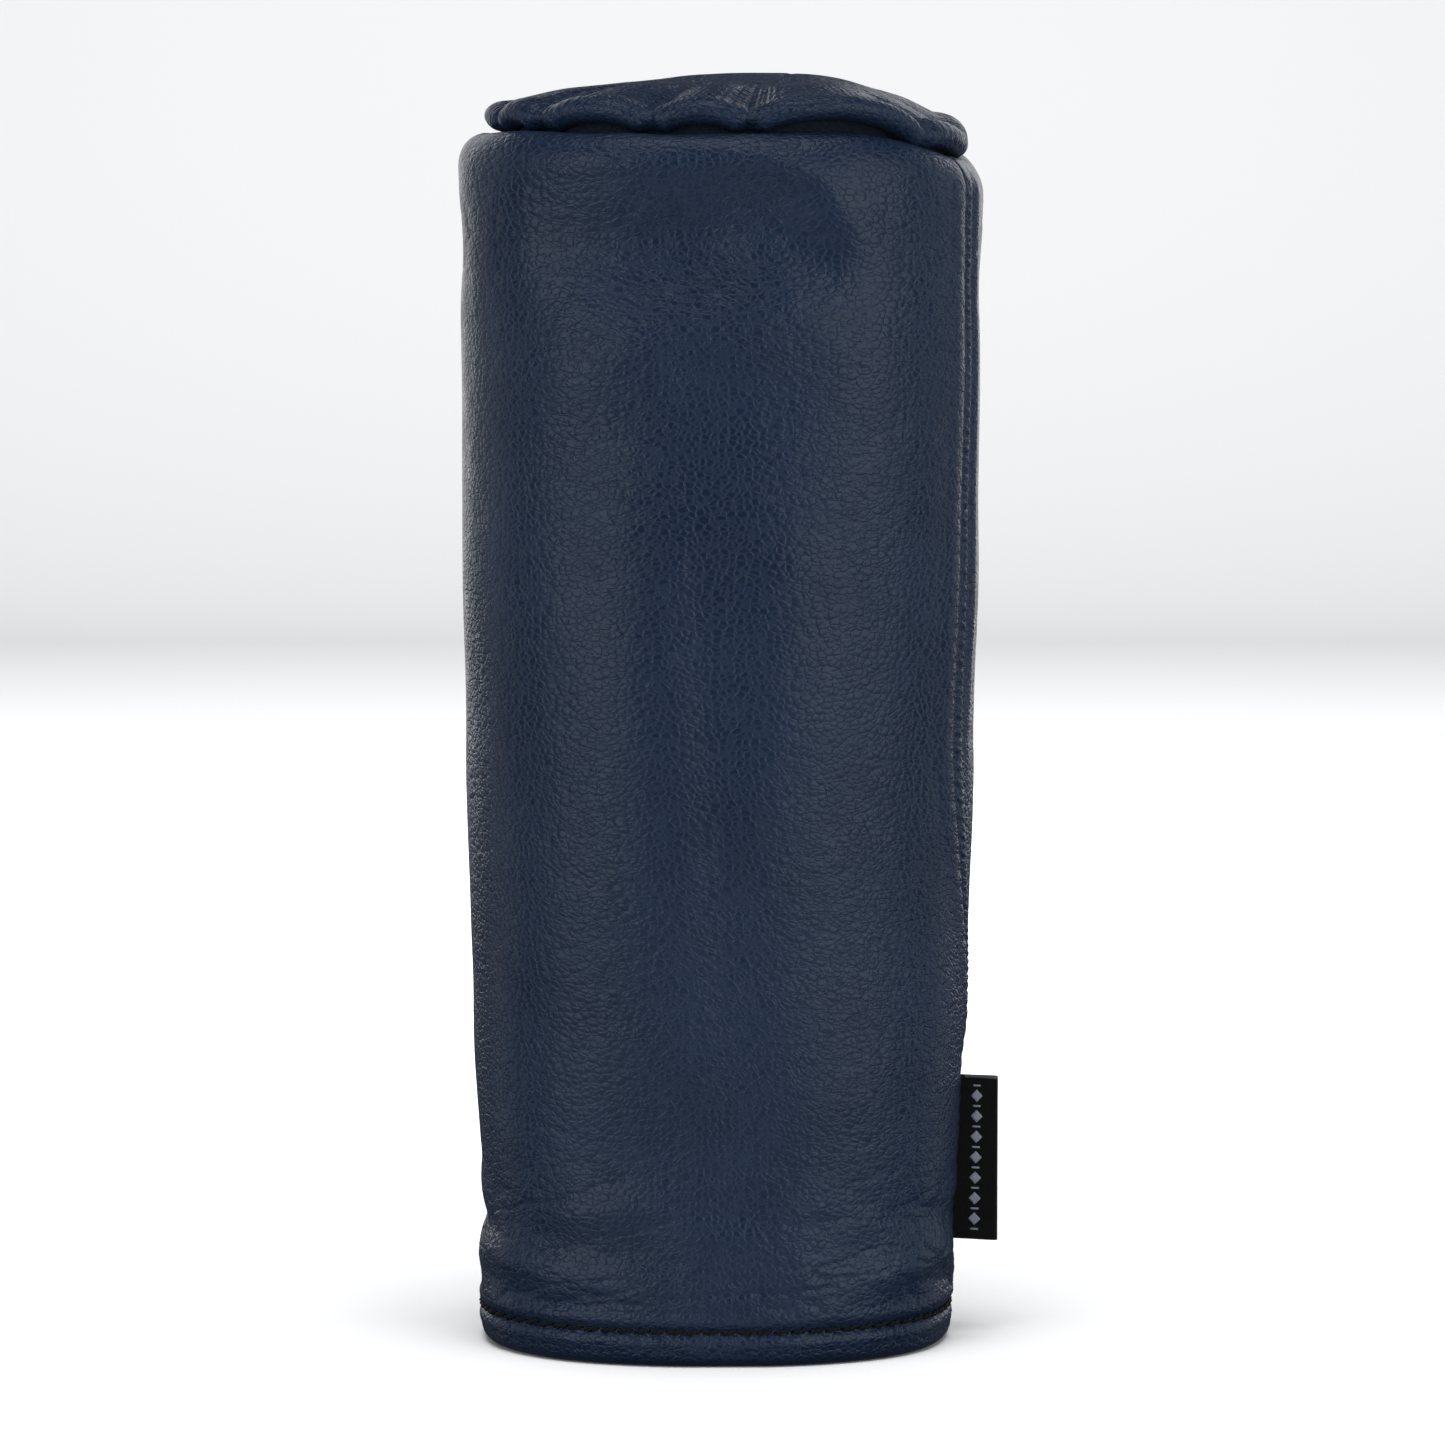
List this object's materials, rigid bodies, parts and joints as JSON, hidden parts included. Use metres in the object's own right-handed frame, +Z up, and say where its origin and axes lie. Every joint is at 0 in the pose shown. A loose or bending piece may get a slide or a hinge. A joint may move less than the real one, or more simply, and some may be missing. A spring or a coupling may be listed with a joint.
{
  "type": "golf club headcover",
  "caption": "Barrel-shaped padded leather headcover for a golf driver, with a gathered cap, fleece lining, elastic hem and a folded side label",
  "frame": {"origin": "centre of the opening, on the plane of the hem", "axes": "+Z up the barrel from the hem to the cap, -Y the front, +X the side with the seam and the label"},
  "size_m": [0.1301, 0.112, 0.305],
  "materials": {
    "navy_leather": "pebbled full-grain, soft sheen",
    "foam": "matt open-cell foam",
    "fleece": "matt deep-pile fleece",
    "elastic": "matt woven elastic",
    "label_ribbon": "satin weave",
    "label_marks": "matt woven thread",
    "thread": "twisted, slight sheen"
  },
  "bodies": {
    "cover": {"body_wrap": "navy_leather", "top_disc": "navy_leather", "cap_pad": "foam", "interlining_sleeve": "foam", "lining_sleeve": "fleece", "lining_disc": "fleece", "elastic_band": "elastic", "tag_tail": "label_ribbon", "hem_needle_thread": "thread", "hem_bobbin_thread": "thread", "side_seam_thread": "thread", "cap_seam_thread": "thread", "facing_thread": "thread", "elastic_thread": "thread", "lining_side_thread": "thread", "lining_cap_thread": "thread"},
    "label": {"side_tag": "label_ribbon", "tag_motif": "label_marks"}
  },
  "joints": [
    {"name": "label_flap", "type": "hinge", "parent": "cover", "child": "label", "pos_m": [0.05771, -0.00302, 0.02347], "axis": [0.0353, -0.0042, 0.9994], "range_deg": [-80, 80], "stiffness_Nm_per_rad": 0.0002}
  ]
}
